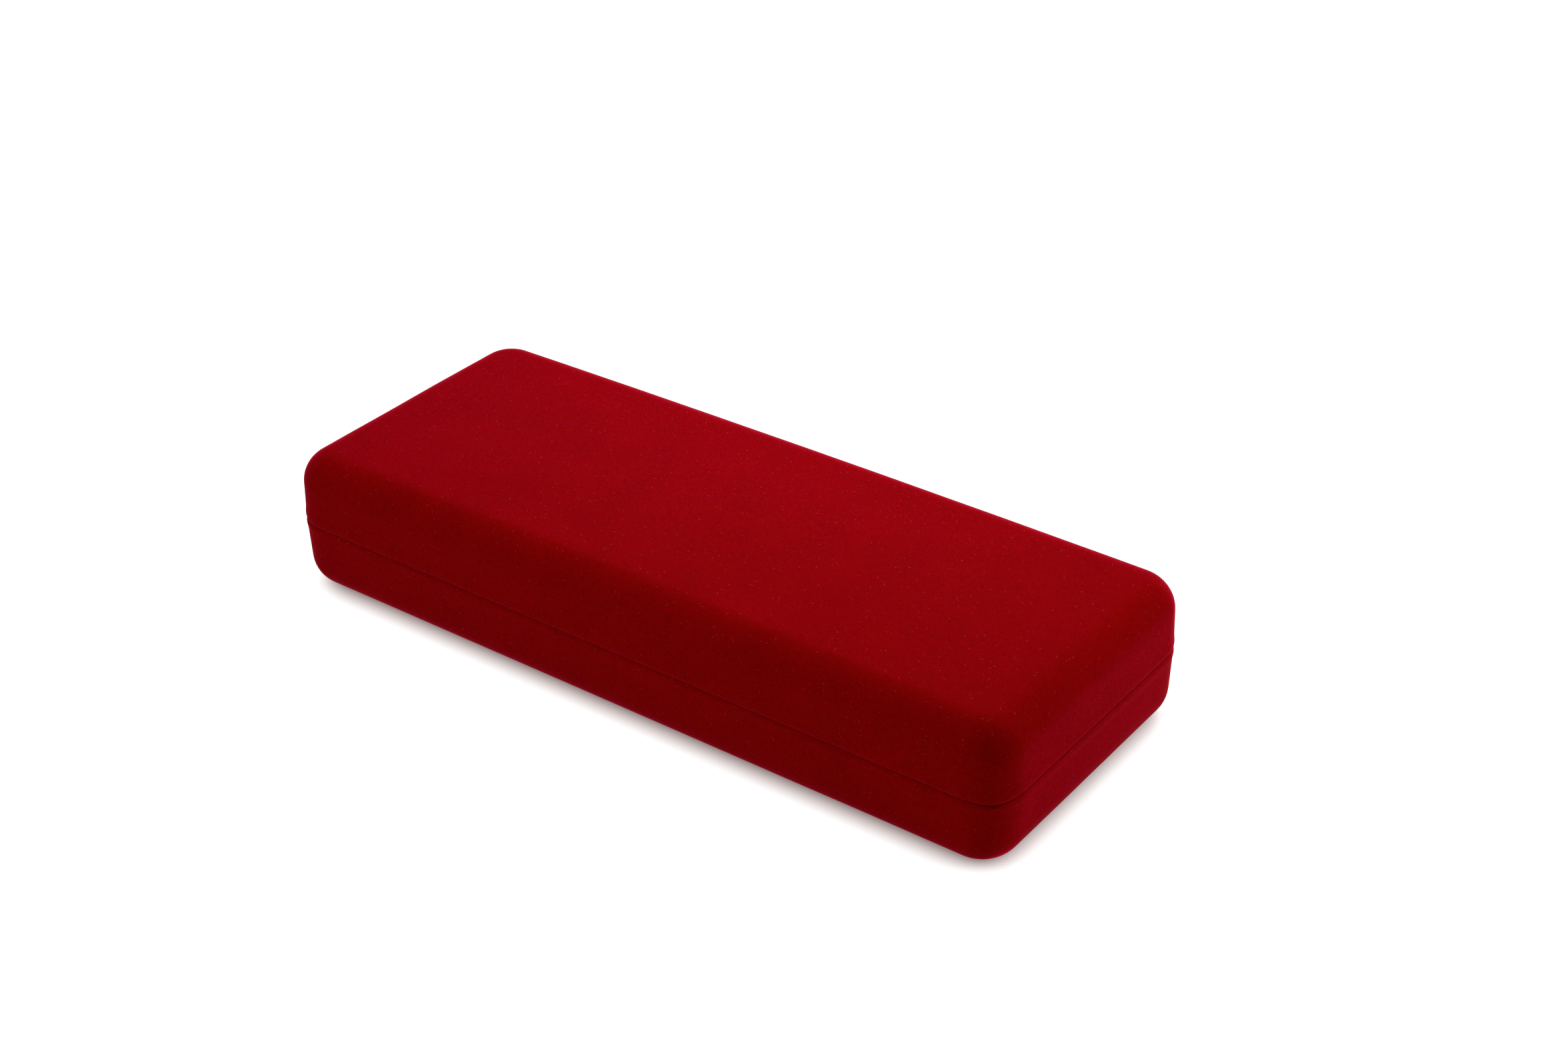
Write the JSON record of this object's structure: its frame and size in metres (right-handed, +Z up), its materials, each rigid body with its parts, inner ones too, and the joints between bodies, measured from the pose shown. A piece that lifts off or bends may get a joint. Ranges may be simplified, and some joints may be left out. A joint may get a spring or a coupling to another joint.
{
  "type": "presentation case",
  "caption": "Long flat hinged case with rounded corners, covered in crimson flocked velvet, with a satin-lined lid and a recessed display insert.",
  "frame": {"origin": "centre of the flat underside of the closed case, on the surface that it stands on", "axes": "+X along the case's length to the right-hand end, +Y from the front to the hinged back, +Z up"},
  "size_m": [0.18, 0.0714, 0.0328],
  "materials": {
    "velvet": "crimson flocked velvet pile",
    "shell_plastic": "moulded, wine red",
    "foam": "soft open-cell foam",
    "board": "grey card",
    "satin": "ivory satin, soft sheen",
    "hinge_brass": "plated sheet, satin",
    "spring_steel": "bright spring steel"
  },
  "bodies": {
    "base": {"base_velvet": "velvet", "base_shell": "shell_plastic", "base_foam": "foam", "insert_former": "shell_plastic", "insert_velvet": "velvet", "hinge_left_base_leaf": "hinge_brass", "hinge_left_pin": "spring_steel", "hinge_left_spring": "spring_steel", "hinge_right_base_leaf": "hinge_brass", "hinge_right_pin": "spring_steel", "hinge_right_spring": "spring_steel"},
    "lid": {"lid_velvet": "velvet", "lid_shell": "shell_plastic", "lid_pad_board": "board", "lid_pad_foam": "foam", "lid_satin_cover": "satin", "hinge_left_lid_leaf": "hinge_brass", "hinge_right_lid_leaf": "hinge_brass"}
  },
  "joints": [
    {"name": "lid_hinge", "type": "hinge", "parent": "base", "child": "lid", "pos_m": [0, 0.03405, 0.0167], "axis": [-1, 0, 0], "range_deg": [0, 95]}
  ]
}
